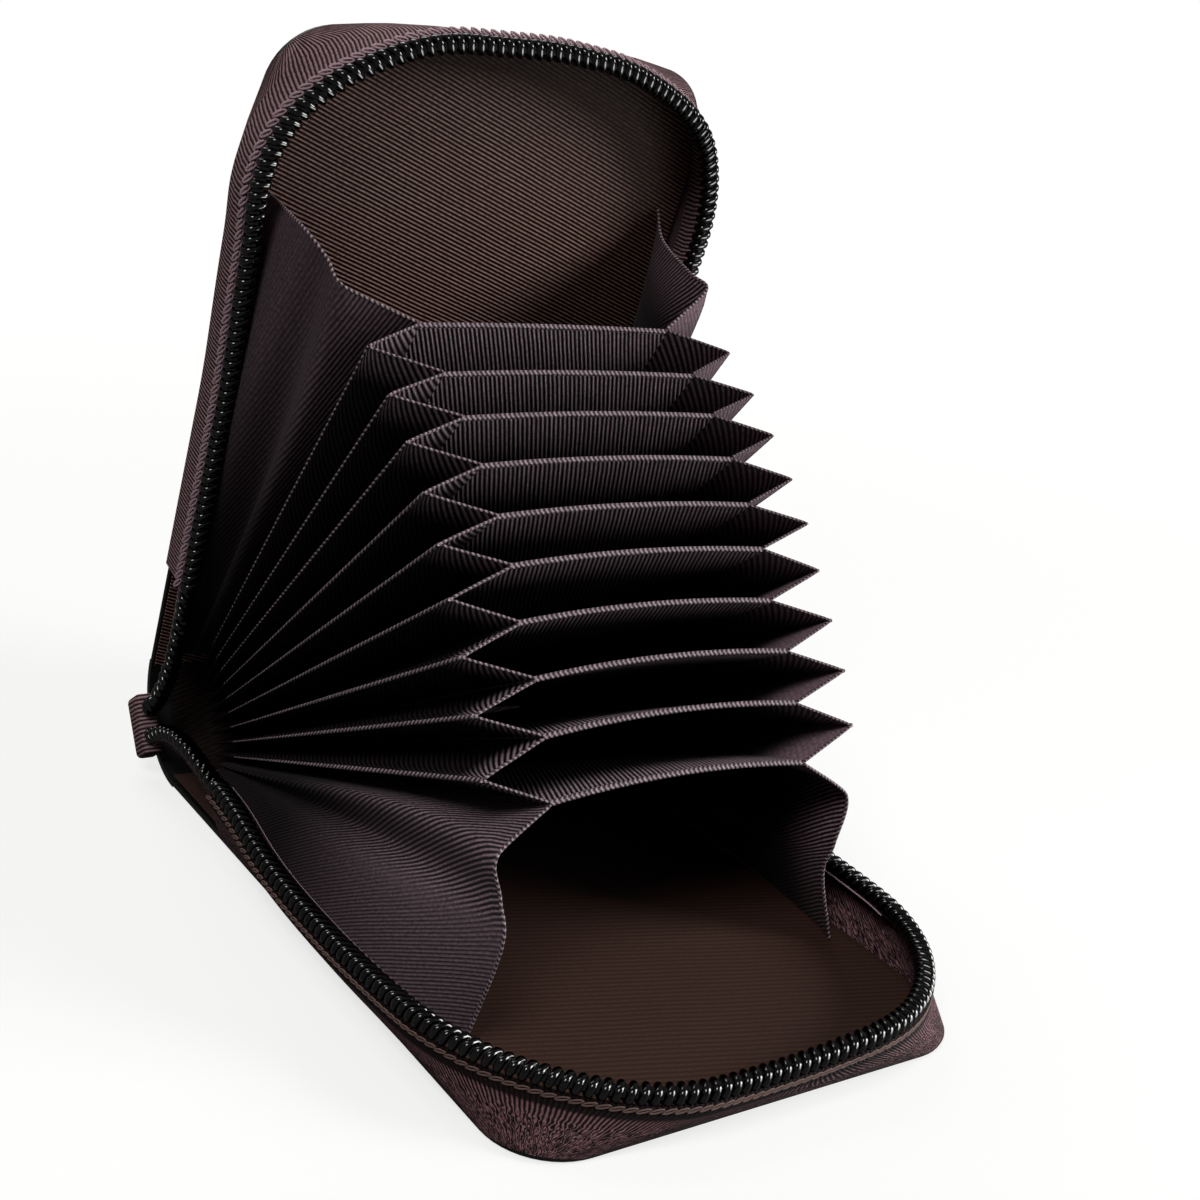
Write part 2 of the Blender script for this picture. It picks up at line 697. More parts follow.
@dataclass(frozen=True)
class Fan:
    """The chain of bodies from the lower cover, 0, over the dividers, 1 to 10, to the upper cover, 11."""

    back: float = -53.0 * MM
    base_set: float = -1.0 * MM
    first_base: float = 3.575 * MM
    pitch: float = 1.65 * MM
    lining_top: float = 2.3 * MM
    opening: tuple[float, ...] = (20.1, 4.6, 3.9, 4.1, 4.0, 3.7, 4.1, 4.2, 4.2, 5.5, 17.8)
    width: float = 43.0 * MM
    thick: float = 0.7 * MM
    low_depth: float = 85.0 * MM
    high_depth: float = 80.0 * MM
    low_bow: float = 1.3 * MM
    high_bow: float = 0.4 * MM
    dividers: int = 10
    short_place: int = 4
    set_back: float = 1.2 * MM

    def body(self, place: int) -> str:
        """The body at a place in the chain.

        Args:
            place: The place.

        Returns:
            The body's name.
        """
        if place == 0:
            return "lower_cover"
        return "upper_cover" if place > self.dividers else f"divider_{self.dividers + 1 - place:02d}"

    def frame(self, place: int) -> Matrix:
        """A body's own frame: its hinge line is X, the divider lies along Y.

        Args:
            place: The place in the chain.

        Returns:
            The matrix from that frame to the row frame.
        """
        matrix = Matrix.Translation((0.0, self.back + self.base_set, self.first_base))
        for order in range(1, place + 1):
            step = 0.0 if order in (1, self.dividers + 1) else self.pitch
            turn = Matrix.Rotation(math.radians(self.opening[order - 1]), 4, "X")
            matrix = matrix @ Matrix.Translation((0.0, 0.0, step)) @ turn
        return matrix

    def cover_frame(self, cover: Cover) -> Matrix:
        """A cover's own frame, with Y from its back edge and Z from its outer face inwards.

        Args:
            cover: The cover.

        Returns:
            The matrix from that frame to the row frame, which mirrors for the upper cover.
        """
        if cover is Cover.LOWER:
            return Matrix.Translation((0.0, self.back, 0.0))
        return (self.frame(cover.value) @ Matrix.Translation((0.0, -self.base_set, self.first_base))
                @ Matrix.Diagonal((1.0, 1.0, -1.0, 1.0)))

    def depth(self, place: int) -> float:
        """A divider's depth from its hinge line to its mouth, which sits back on one of them.

        Args:
            place: The divider's place in the chain.

        Returns:
            The depth.
        """
        share = (place - 1) / (self.dividers - 1)
        back = self.set_back if place == self.short_place else 0.0
        return self.low_depth + (self.high_depth - self.low_depth) * share - back

    def surface(self, place: int, x: float, share: float, above: float = 0.0) -> Vector:
        """A point on a divider, whose mouth bows up a little in the middle.

        Args:
            place: The divider's place in the chain.
            x: Place along the spine.
            share: Share of its depth.
            above: Height above its middle plane.

        Returns:
            The point in the row frame.
        """
        rank = (place - 1) / (self.dividers - 1)
        bow = self.low_bow + (self.high_bow - self.low_bow) * rank
        rise = bow * max(0.0, 1.0 - (2.0 * x / self.width) ** 2) * share ** 2
        return self.frame(place) @ Vector((x, self.depth(place) * share, above + rise))

    def fold_between(self, piece: bpy.types.Object, place: int, start: Vector, end: Vector) -> None:
        """Bends a gusset between two neighbours of the chain.

        So the share of the upper body at each point is then written as the share of the wedge's opening
        at that point.

        Args:
            piece: The gusset.
            place: The lower neighbour's place.
            start: A point at the lower neighbour.
            end: A point at the upper neighbour.
        """
        self.body(place)
        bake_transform(piece)
        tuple(start)
        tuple(end)
        points = np.zeros(len(piece.data.vertices) * 3)
        piece.data.vertices.foreach_get("co", points)
        points = points.reshape(-1, 3)
        for matrix, sign in ((self.frame(place), 1.0), (self.frame(place + 1), -1.0)):
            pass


@dataclass
class Divider:
    """One stiffened divider with its satin turned over the mouth."""

    fan: Fan
    palette: Palette
    place: int
    hem_radius: float = 0.4 * MM

    def build(self) -> None:
        """Builds and dresses the divider."""
        fan = self.fan
        name = f"divider_{fan.dividers + 1 - self.place:02d}"
        half = fan.width / 2
        depth = fan.depth(self.place)
        floor = fan.thick / 2 / depth
        plate = Bench.sheet(f"{name}_satin", 24, 40,
                            lambda s, t: fan.surface(self.place, (2 * s - 1) * half, t * (1 - floor) - floor),
                            lambda s, t: ((2 * s - 1) * half / MM, (t - 1) * depth / MM), fan.thick,
                            self.palette.satin)
        mouth = [fan.surface(self.place, (k / 20 - 1) * half, 1.0 - self.hem_radius / depth)
                 for k in range(41)]
        hem = Bench.tube(f"{name}_hem", mouth, self.hem_radius, 10, self.palette.hem)
        piece = Bench.join([plate, hem], f"{name}_satin")
        dress(piece, self.palette.satin, name, name)


@dataclass
class Gusset:
    """A narrow pocket's V-folded side."""

    fan: Fan
    palette: Palette
    side: Side
    place: int
    thick: float = 0.3 * MM
    inner_x: float = 21.45 * MM
    fold_x: float = 30.85 * MM
    soften: float = 0.05
    tighten: float = 1.5
    start_share: float = 0.02
    hem_radius: float = 0.2 * MM
    crease_radius: float = 0.34 * MM
    crease_thins: float = 0.018 * MM
    crease_start: float = 0.1
    thin_start: float = 0.3
    pressed: float = 100.0

    def point(self, s: float, t: float) -> Vector:
        """A point of the gusset.

        Args:
            s: Share round the V, from the lower divider to the upper one.
            t: Share of the depth.

        Returns:
            The point in the row frame.
        """
        fan = self.fan
        share = self.start_share + (1.0 - self.start_share) * t
        skin = (fan.thick - self.thick) / 2
        x = self.side.value * self.inner_x
        low = fan.surface(self.place, x, share, skin)
        high = fan.surface(self.place + 1, x, share, -skin)
        turn = 2.0 * s - 1.0
        turn = math.copysign(abs(turn) ** self.tighten, turn)
        bend = math.hypot(turn, self.soften) - self.soften
        bend /= math.hypot(1.0, self.soften) - self.soften
        middle = low.lerp(high, 0.5 + turn / 2)
        out = self.side.value * (self.fold_x - self.inner_x) * (1.0 - bend)
        return middle + Vector((out, 0.0, 0.0))

    def flat(self, s: float, t: float) -> tuple[float, float]:
        """The same point on the cloth, whose ribs run on from the dividers' at both halves of the V.

        Args:
            s: Share round the V, from the lower divider to the upper one.
            t: Share of the depth.

        Returns:
            Its place on the flat cloth, in millimetres.
        """
        out = self.inner_x + (self.fold_x - self.inner_x) * (1.0 - abs(2.0 * s - 1.0))
        if self.side is Side.RIGHT and s < 0.5:
            out += self.pressed * MM
        return self.side.value * out / MM, (t - 1.0) * self.fan.depth(self.place) / MM

    def build(self) -> None:
        """Builds and dresses the gusset."""
        fan = self.fan
        name = f"{self.side.word}_gusset_{fan.dividers + 1 - self.place:02d}"
        left = self.side is Side.LEFT
        cloth = self.palette.fold_satin if left else self.palette.shade_satin
        wall = Bench.sheet(f"{name}_satin", 28, 24, self.point, self.flat, self.thick, cloth)
        mouth = [self.point(k / 32, 1.0) for k in range(33)]
        hem = Bench.tube(f"{name}_hem", mouth, self.hem_radius, 8, self.palette.hem if left else cloth)
        ridge = self.crease_radius - self.crease_thins * self.place
        out = Vector((self.side.value * ridge, 0.0, 0.0))
        fold = [self.point(0.5, self.crease_start + (1.0 - self.crease_start) * k / 40) + out
                for k in range(41)]
        crease = Bench.tube(f"{name}_crease", fold, ridge, 8, self.palette.crease, self.thin_start)
        piece = Bench.join([wall, hem, crease], f"{name}_satin")
        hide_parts(name)
        fan.fold_between(piece, self.place, self.point(0.0, 1.0), self.point(1.0, 1.0))


@dataclass
class EndGusset:
    """The wide gusset between a cover and the divider next to it."""

    fan: Fan
    palette: Palette
    side: Side
    cover: Cover
    thick: float = 0.3 * MM
    inner_x: float = 21.5 * MM
    fold_x: float = 31.0 * MM
    start: float = 5.0 * MM
    foot_gap: float = 0.25 * MM
    hem_radius: float = 0.22 * MM
    cells: int = 48
    # The right fold's outer part, up to this share, lies this far along the cloth, where it is smooth
    fold_share: float = 0.25
    pressed: float = 100.0
    # How far the fold, the two bends and the foot stand out half way in, and how the fold rises there
    sways: tuple[float, ...] = (0.4 * MM, -2.0 * MM, 1.4 * MM, 3.2 * MM)
    rise: float = 2.6
    rise_power: float = 0.6
    foot_most: float = 5.2 * MM
    # For each corner: the fold and two bends (out, reach, degrees above the cover), then the foot
    forms: dict[str, tuple[tuple[float, ...], ...]] = field(default_factory=lambda: {
        "lower_left": ((-0.1, 87.2, 17.0), (0.0, 87.8, 13.4), (0.5, 89.2, 9.8), (0.7, 83.4)),
        "lower_right": ((-0.3, 83.5, 16.1), (-0.9, 82.0, 10.8), (-0.6, 80.0, 7.0), (2.4, 80.6)),
        "upper_left": ((0.2, 81.4, 14.1), (1.8, 83.0, 11.2), (3.8, 84.5, 8.0), (3.2, 83.0)),
        "upper_right": ((-1.0, 83.6, 14.2), (-0.9, 83.0, 10.6), (0.9, 82.2, 3.2), (2.4, 85.0)),
    })

    def row(self, t: float) -> list[Vector]:
        """The five corners of the gusset's section at a share of its depth, in the cover's hinge frame.

        Args:
            t: Share of the depth.

        Returns:
            Divider edge, fold, two bends and foot, with Z away from the cover.
        """
        fan = self.fan
        place = 1 if self.cover is Cover.LOWER else fan.dividers
        opening = math.radians(fan.opening[0 if self.cover is Cover.LOWER else -1])
        form = self.forms[f"{self.cover.word}_{self.side.word}"]
        edge = (fan.thick - self.thick) / 2
        swell = math.sin(math.pi * min(max(t, 0.0), 1.0))
        reach = self.start + (fan.depth(place) - self.start) * t
        rows = [Vector((self.inner_x, reach * math.cos(opening),
                        reach * math.sin(opening) - edge * math.cos(opening)))]
        for k, ((out, mouth, degrees), sway) in enumerate(zip(form[:3], self.sways)):
            reach = self.start + (mouth * MM - self.start) * t
            angle = math.radians(degrees + (0.0 if k else self.rise * swell ** self.rise_power))
            rows.append(Vector((self.fold_x + out * MM + swell * sway, reach * math.cos(angle),
                                reach * math.sin(angle))))
        out, mouth = form[3]
        reach = self.start + (mouth * MM - self.start) * t
        aside = min(out * MM + self.sways[3] * math.sqrt(swell), self.foot_most)
        rows.append(Vector((self.fold_x + aside, reach,
                            fan.lining_top + self.foot_gap + self.thick / 2 - fan.first_base)))
        return rows

    def point(self, s: float, t: float) -> Vector:
        """A point of the gusset: straight to the fold, then in soft bends down to the foot.

        Args:
            s: Share of the way from the divider to the foot.
            t: Share of the depth.

        Returns:
            The point in the row frame.
        """
        rows = self.row(t)
        spans = len(rows) - 1
        ends = [rows[0] * 2 - rows[1]] + rows + [rows[-1] * 2 - rows[-2]]
        run = min(s * spans, spans - 1e-4)
        k = int(run)
        u = run - k
        p0, p1, p2, p3 = ends[k:k + 4]
        tight = 0.5 if k else 0.25
        m1 = (p2 - p0) * tight
        m2 = (p3 - p1) * tight
        place = (p1 * (2 * u ** 3 - 3 * u ** 2 + 1) + m1 * (u ** 3 - 2 * u ** 2 + u)
                 + p2 * (3 * u ** 2 - 2 * u ** 3) + m2 * (u ** 3 - u ** 2))
        flip = 1.0 if self.cover is Cover.LOWER else -1.0
        place = Vector((self.side.value * place.x, place.y, flip * place.z))
        return self.fan.frame(self.cover.value) @ place

    def flats(self) -> Callable[[float, float], tuple[float, float]]:
        """The places on the flat cloth, measured along the form from the divider's edge.

        Returns:
            The function from a point's shares to its place on the cloth.
        """
        rows: dict[float, np.ndarray] = {}

        def flat(s: float, t: float) -> tuple[float, float]:
            """A point's way down from the divider's edge, and its depth from the mouth.

            Args:
                s: Share of the way from the divider to the foot.
                t: Share of the depth.

            Returns:
                Its place on the flat cloth, in millimetres.
            """
            key = round(t, 4)
            if key not in rows:
                rows[key] = runs_along([self.point(k / self.cells, t) for k in range(self.cells + 1)]) / MM
            across = self.side.value * rows[key][round(s * self.cells)]
            if self.side is Side.RIGHT and self.cover is Cover.UPPER and s < self.fold_share:
                across += self.pressed
            return across, (t - 1.0) * self.fan.low_depth / MM

        return flat

    def build(self) -> None:
        """Builds and dresses the gusset."""
        fan = self.fan
        lower = self.cover is Cover.LOWER
        name = f"{self.side.word}_gusset_{fan.dividers + 1 if lower else 1:02d}"
        mouth = [self.point(k / self.cells, 1.0) for k in range(self.cells + 1)]
        cloth = self.palette.shade_satin
        if self.side is Side.LEFT:
            cloth = self.palette.wide_satin if lower else self.palette.closed_satin
        wall = Bench.sheet(f"{name}_satin", self.cells, 36, self.point, self.flats(), self.thick, cloth)
        hem = Bench.tube(f"{name}_hem", mouth, self.hem_radius, 8, self.palette.hem)
        piece = Bench.join([wall, hem], f"{name}_satin")
        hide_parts(name)
        foot, edge = self.point(1.0, 1.0), self.point(0.0, 1.0)
        if lower:
            fan.fold_between(piece, 0, foot, edge)
        else:
            fan.fold_between(piece, fan.dividers, edge, foot)


# Covers and zip

@dataclass(frozen=True)
class ZipLine:
    """The U that a zip follows round a cover, in the cover's own frame."""

    half: float
    far: float
    corner: float
    start: float = 20.0 * MM
    # Steps along a side, round a corner and along half of the far end
    side_steps: int = 34
    corner_steps: int = 24
    end_steps: int = 6
    # The sways are averaged over this many millimetres
    softness: int = 9
    sway: tuple[tuple[float, float, float], ...] = ()

    def places(self) -> list[tuple[Vector, Vector]]:
        """Points with their outward normals, from the left end round to the right one.

        Returns:
            The same number of pairs for every line, so that two lines match point by point.
        """
        side = self.far - self.corner - self.start
        inner = self.half - self.corner
        left = [(Vector((self.half, self.start + side * k / self.side_steps, 0.0)), Vector((1.0, 0.0, 0.0)))
                for k in range(self.side_steps)]
        for k in range(self.corner_steps):
            angle = math.pi / 2 * k / self.corner_steps
            out = Vector((math.cos(angle), math.sin(angle), 0.0))
            left.append((Vector((inner, self.far - self.corner, 0.0)) + out * self.corner, out))
        ahead = Vector((0.0, 1.0, 0.0))
        left += [(Vector((inner * (1 - k / self.end_steps), self.far, 0.0)), ahead)
                 for k in range(self.end_steps)]
        right = [tuple(Vector((-v.x, v.y, 0.0)) for v in pair) for pair in left[::-1]]
        pairs = left + [(Vector((0.0, self.far, 0.0)), ahead)] + right
        return self.swayed(pairs) if self.sway else pairs

    def swayed(self, pairs: Sequence[tuple[Vector, Vector]]) -> list[tuple[Vector, Vector]]:
        """Lets the line lean and rise softly, as a sewn tape does.

        Args:
            pairs: The even line.

        Returns:
            The line with its sways, each given by its run in millimetres, its lean out and its rise.
        """
        runs = runs_along([point for point, _ in pairs]) / MM
        grid = np.arange(0.0, runs[-1] + 1.0)
        marks = [row[0] for row in self.sway]
        soft = []
        for column in (1, 2):
            rough = np.interp(grid, marks, [row[column] for row in self.sway])
            padded = np.pad(rough, self.softness // 2, mode="edge")
            soft.append(np.convolve(padded, np.ones(self.softness) / self.softness, mode="valid"))
        moved = []
        for (point, out), run in zip(pairs, runs):
            lean, rise = (float(np.interp(run, grid, values)) * MM for values in soft)
            moved.append((point + out * lean + UP * rise, out))
        return moved

    @staticmethod
    def even(pairs: Sequence[tuple[Vector, Vector]], step: float) -> list[tuple[Vector, Vector]]:
        """Even steps along a line of (point, normal) pairs.

        Args:
            pairs: The line.
            step: The wanted step, rounded so that a whole number fits.

        Returns:
            The pairs at even steps.
        """
        runs = runs_along([point for point, _ in pairs])
        count = max(2, round(runs[-1] / step))
        points = np.array([list(p) for p, _ in pairs])
        outs = np.array([list(o) for _, o in pairs])
        wanted = np.linspace(0.0, runs[-1], count + 1)
        spread = [[np.interp(wanted, runs, rows[:, k]) for k in range(3)] for rows in (points, outs)]
        spots, sides = (np.array(rows).T for rows in spread)
        return [(Vector(spot), Vector(side).normalized()) for spot, side in zip(spots, sides)]


@dataclass(frozen=True)
class Coil:
    """A nylon zip coil: a flattened helix round a filler cord."""

    width: float = 3.0 * MM
    height: float = 2.6 * MM
    pitch: float = 1.6 * MM
    wire: float = 0.6 * MM
    core: float = 0.9 * MM
    squareness: float = 0.6
    turn_points: int = 16
    sides: int = 10

    def build(self, name: str, centres: Sequence[tuple[Vector, Vector, Vector]],
              palette: Palette) -> bpy.types.Object:
        """Winds the coil.

        Args:
            name: The piece's name.
            centres: The line's points with their outward and upward directions, one for each helix point.
            palette: The finishes.

        Returns:
            The coil with its filler cord.
        """
        points = []
        for k, (centre, out, up) in enumerate(centres):
            angle = 2.0 * math.pi * k / self.turn_points
            a, b = (math.copysign(abs(part) ** self.squareness, part)
                    for part in (math.cos(angle), math.sin(angle)))
            points.append(centre + out * (self.width / 2 - self.wire) * a
                          + up * (self.height / 2 - self.wire) * b)
        wound = Bench.tube(name, points, self.wire, self.sides, palette.nylon)
        line = [centre for centre, _, _ in centres[::max(1, self.turn_points // 2)]] + [centres[-1][0]]
        filler = Bench.tube(f"{name}_filler", line, self.core, 6, palette.nylon)
        return Bench.join([wound, filler], name)


@dataclass
class CoverShell:
    """One cover: leather, lining, tape wall, chain stitches and coil."""

    fan: Fan
    palette: Palette
    cover: Cover
    width: float = 75.0 * MM
    length: float = 106.0 * MM
    corner: float = 10.0 * MM
    leather: float = 1.0 * MM
    leather_edge: float = 0.35 * MM
    lining_corner: float = 15.5 * MM
    lining_foot: float = 2.0 * MM
    lining: float = 0.3 * MM
    lining_back: float = 0.15 * MM
    lining_edge: float = 0.1 * MM
    tape_inset: float = 0.1 * MM
    tape: float = 0.5 * MM
    tape_foot: float = 0.62 * MM
    tape_top: float = 7.75 * MM
    tape_out: float = 0.5 * MM
    tape_stretch: float = 1.08
    # How far the upper tape's ribs lean along it for each millimetre up, by the share of its length
    upper_slants: tuple[tuple[float, float], ...] = (
        (0.0, 0.0), (0.26, 0.0), (0.34, 0.1), (0.4, 0.8), (0.46, 1.4), (0.55, 0.6), (1.0, 0.0))
    tape_heights: tuple[float, ...] = (0.0, 0.15, 0.5, 0.85, 1.0)
    tape_leans: tuple[float, ...] = (0.0, 0.2, 0.68, 1.0, 1.0)
    # How much further out the upper tape stands at those heights, and where along it
    bulge_heights: tuple[float, ...] = (0.0, 0.8, 0.36, 0.04, 0.0)
    bulge_shares: tuple[tuple[float, float], ...] = (
        (0.0, 1.0), (0.28, 1.0), (0.36, 0.6), (0.43, 0.3), (0.5, 0.2), (0.57, 0.3), (0.64, 0.6), (0.72, 1.0),
        (1.0, 1.0))
    coil_x: float = 40.1 * MM
    coil_far: float = 109.1 * MM
    coil_corner: float = 29.0 * MM
    coil_z: float = 8.75 * MM
    coil_in: float = 0.5 * MM
    stitch: float = 1.6 * MM
    link_share: float = 0.56
    # For each cover: the stitches' way out, height, half width and strand, then their lean and twist
    seams: dict[str, tuple[float, ...]] = field(default_factory=lambda: {
        "lower": (0.92 * MM, 7.25 * MM, 0.2 * MM, 0.5 * MM, 0.0, 14.0),
        "upper": (0.85 * MM, 7.45 * MM, 0.26 * MM, 0.78 * MM, 50.0, 28.0),
    })
    # The zip tape's inner lip: its two edges, in from the coil's line and up, and its sewn edge
    lip: tuple[tuple[float, ...], ...] = ((0.9 * MM, 7.5 * MM), (2.75 * MM, 8.4 * MM))
    lip_thread: float = 0.11 * MM
    lip_thick: float = 0.25 * MM
    # A side's outward direction has at least this much of X; and a lip's length, start and width on the cloth
    straight: float = 0.98
    lip_cloth: tuple[float, ...] = (70.0, 5.0, 2.0)
    # How each zip leans out and rises along its run from the left end, in millimetres
    lower_sway: tuple[tuple[float, float, float], ...] = (
        (0, -0.6, 1.0), (8, -0.3, 0.6), (15, 0.2, -0.7), (22, 0.3, -1.6), (30, 0.3, -2.0), (43, 0.3, -1.9),
        (55, 0.2, -1.1), (66, 0, 0), (84, 0, 0), (92, 0, -0.6), (102, 0, -1.2), (112, 0, -1.4),
        (122, 0, -1.0), (131, 0, 0), (152, 0, 0), (168, 0.2, 0.5), (181, 0.2, 1.0), (233, 0, 0.8))
    upper_sway: tuple[tuple[float, float, float], ...] = (
        (0, -2.0, 0), (34, -2.0, 0), (50, -1.3, 0), (60, -1.0, 0), (66, 0, 0), (73, 0.8, 0), (80, 0.6, 0),
        (90, -0.6, 0), (105, -0.4, 0), (120, 0.2, 0), (130, -0.8, 0), (138, -1.3, 0), (146, -0.6, 0),
        (153, 0.3, 0), (160, -0.2, 0), (171, -0.9, 0), (233, -0.9, 0))

    def finish_piece(self, piece: bpy.types.Object, finish: Finish, *nodes: str) -> None:
        """Puts a piece made in the cover's own frame in its place and dresses it.

        Args:
            piece: The object.
            finish: Its main finish.
            *nodes: The CAD nodes that it replaces.
        """
        piece.data.transform(self.fan.cover_frame(self.cover))
        Bench.tidy(piece)
        dress(piece, finish, self.fan.body(self.cover.value), *nodes)

    def tape_point(self, pairs: Sequence[tuple[Vector, Vector, Vector]], s: float, t: float) -> Vector:
        """A point of the tape wall.

        Args:
            pairs: Foot, head and outward direction at each station.
            s: Share along the zip.
            t: Share of the height.

        Returns:
            The point in the cover's frame.
        """
        run = min(max(s, 0.0) * (len(pairs) - 1), len(pairs) - 1.0001)
        k = int(run)
        part = run - k
        foot = pairs[k][0].lerp(pairs[k + 1][0], part)
        head = pairs[k][1].lerp(pairs[k + 1][1], part)
        lean = float(np.interp(t, self.tape_heights, self.tape_leans))
        if self.cover is Cover.UPPER:
            marks, shares = zip(*self.bulge_shares)
            bulge = float(np.interp(t, self.tape_heights, self.bulge_heights))
            lean += bulge * float(np.interp(s, marks, shares))
        point = foot.lerp(head, lean)
        point.z += self.tape_foot + (self.tape_top - self.tape_foot) * t
        return point

    def build_shell(self) -> None:
        """The leather and the lining."""
        word = self.cover.word
        hide = Bench.plate(f"{word}_cover_hide", self.width, self.length, self.leather, self.corner, 0.0, 0.0,
                           self.leather_edge, self.palette.leather)
        self.finish_piece(hide, self.palette.leather, f"{word}_cover_leather")
        twill = self.palette.lower_twill if self.cover is Cover.LOWER else self.palette.upper_twill
        lining = Bench.plate(f"{word}_lining_twill", self.width, self.length - self.lining_back, self.lining,
                             self.lining_corner, self.lining_foot, self.lining_back, self.lining_edge, twill)
        self.finish_piece(lining, twill, f"{word}_lining")

    def build_zip(self) -> None:
        """The tape wall, the chain stitches below the coil and the coil."""
        word = self.cover.word
        foot = ZipLine(self.width / 2 - self.tape_inset, self.length - self.tape_inset,
                       self.corner - self.tape_inset).places()
        sway = self.lower_sway if self.cover is Cover.LOWER else self.upper_sway
        head = ZipLine(self.coil_x, self.coil_far, self.coil_corner, sway=sway).places()
        pairs = [(low[0], high[0] + high[1] * self.tape_out, high[1]) for low, high in zip(foot, head)]
        run = runs_along([top for _, top, _ in pairs])[-1] / MM
        rise = (self.tape_top - self.tape_foot) / MM * self.tape_stretch
        weave = self.palette.tape(self.cover)
        marks, leans = zip(*(((0.0, 0.0),) if self.cover is Cover.LOWER else self.upper_slants))

        def flat(s: float, t: float) -> tuple[float, float]:
            """A point of the tape on the flat: its ribs slant where the tape is pulled."""
            return s * run + float(np.interp(s, marks, leans)) * (t - 0.5) * rise, t * rise

        wall = Bench.sheet(f"{word}_zip_tape_wall", 256, 10, lambda s, t: self.tape_point(pairs, s, t), flat,
                           self.tape, weave)
        self.finish_piece(wall, weave, f"{word}_zip_tape")

        coil = Coil()
        centres = [(point - out * self.coil_in + UP * self.coil_z, out, UP)
                   for point, out in ZipLine.even(head, coil.pitch / coil.turn_points)]
        wound = coil.build(f"{word}_zip_coil_wound", centres, self.palette)
        self.finish_piece(wound, self.palette.nylon, f"{word}_zip_coil")
        self.build_stitches(head)
        if self.cover is Cover.LOWER:
            self.build_lips(head, weave)

    def build_lips(self, head: Sequence[tuple[Vector, Vector]], weave: Finish) -> None:
        """The zip tape's inner lip along both sides, with its sewn edge.

        Args:
            head: The coil's line.
            weave: The tape's finish.
        """
        for side in Side:
            line = [(point, out) for point, out in head if out.x * side.value > self.straight]
            edges = [[point - out * inward + UP * height for point, out in line]
                     for inward, height in self.lip]
            last = len(line) - 1

            def shape(s: float, t: float, edges: Sequence[Sequence[Vector]] = edges) -> Vector:
                """A point of the lip."""
                return edges[0][round(s * last)].lerp(edges[1][round(s * last)], t)

            name = f"{self.cover.word}_{side.word}_zip_lip"
            length, start, width = self.lip_cloth
            strip = Bench.sheet(name, last, 2, shape, lambda s, t: (s * length, start + t * width),
                                self.lip_thick, weave)
            edge = Bench.tube(f"{name}_edge", edges[1], self.lip_thread, 6, self.palette.thread)
            self.finish_piece(Bench.join([strip, edge], name), weave)

    def build_stitches(self, head: Sequence[tuple[Vector, Vector]]) -> None:
        """A row of chain stitches on the tape's outer face: one link is modelled and then copied.

        Args:
            head: The coil's line.
        """
        bpy.ops.object.select_all(action="DESELECT")
        bpy.ops.mesh.primitive_torus_add(major_segments=14, minor_segments=6, major_radius=1.0,
                                         minor_radius=0.25)
        model = bpy.context.active_object
        points = [vertex.co.copy() for vertex in model.data.vertices]
        faces = [tuple(face.vertices) for face in model.data.polygons]
        bpy.data.objects.remove(model, do_unlink=True)
        vertices: list[Vector] = []
        polygons: list[tuple[int, ...]] = []
        flat: list[tuple[float, float]] = []
        aside, height, wide, strand, lean, twist = self.seams[self.cover.word]
        lean = math.radians(lean)
        turned = Matrix.Rotation(math.radians(twist), 2)
        for point, out in ZipLine.even(head, self.stitch):
            ahead = Vector((-out.y, out.x, 0.0))
            short = UP * math.cos(lean) - out * math.sin(lean)
            proud = out * math.cos(lean) + UP * math.sin(lean)
            middle = point + out * aside + UP * height
            first = len(vertices)
            for vertex in points:
                ring = math.hypot(vertex.x, vertex.y)
                swell = (ring - 1.0) * strand
                along, across = turned @ Vector((vertex.x / ring * (self.stitch * self.link_share + swell),
                                                vertex.y / ring * (wide + swell)))
                vertices.append(middle + ahead * along + short * across + proud * vertex.z * strand)
                flat.append((along / MM, across / MM))
            polygons += [tuple(first + k for k in face) for face in faces]
        seam = self.palette.seam(self.cover)
        row = Bench.solid(f"{self.cover.word}_chain_stitches", vertices, polygons, flat, seam)
        self.finish_piece(row, seam)


